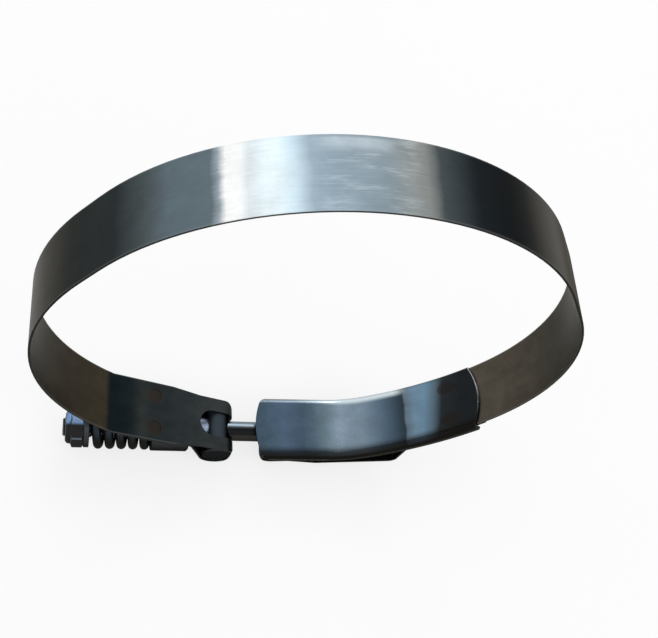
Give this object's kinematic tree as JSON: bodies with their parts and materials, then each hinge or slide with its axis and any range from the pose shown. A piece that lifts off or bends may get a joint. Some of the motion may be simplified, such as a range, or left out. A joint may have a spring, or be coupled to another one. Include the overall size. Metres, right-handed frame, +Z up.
{
  "type": "spring-loaded t-bolt hose clamp",
  "caption": "Flat-band round hose clamp with folded end loops, an inner bridge plate and a horizontal T-bolt that a coil spring and a lock nut keep tight.",
  "frame": {"origin": "centre of the round bore, at the middle of the band's width", "axes": "+Y along the bore, +X along the bolt towards its T-head, +Z up from the closing hardware to the crown of the band"},
  "size_m": [0.144, 0.0208, 0.1533],
  "materials": {
    "band_steel": "bright rolled stainless strip, fine rolling lines along its length",
    "plate_steel": "bright rolled stainless sheet, fine scratches",
    "bolt_steel": "drawn stainless bar, rolled thread towards the nut",
    "trunnion_steel": "turned stainless, satin",
    "spring_steel": "stainless spring wire, dull, ends ground flat",
    "washer_steel": "stainless, satin",
    "nut_steel": "stainless, satin facets",
    "insert_nylon": "dull moulded nylon"
  },
  "bodies": {
    "clamp": {"band": "band_steel", "bridge_plate": "plate_steel", "t_bolt": "bolt_steel", "trunnion": "trunnion_steel", "spring": "spring_steel"},
    "washer": {"washer": "washer_steel"},
    "nut": {"lock_nut": "nut_steel", "nut_insert": "insert_nylon"}
  },
  "joints": [
    {"name": "nut_travel", "type": "slide", "parent": "clamp", "child": "washer", "axis": [1, 0, 0], "range_m": [0, 0.004], "deforming": ["spring"]},
    {"name": "nut_turn", "type": "hinge", "parent": "washer", "child": "nut", "pos_m": [-0.0593, 0, -0.0793], "axis": [1, 0, 0], "range_deg": [0, 1588]}
  ],
  "couplings": [
    {"joint": "nut_turn", "follows": "nut_travel", "rad_per_m": 6926.5}
  ]
}
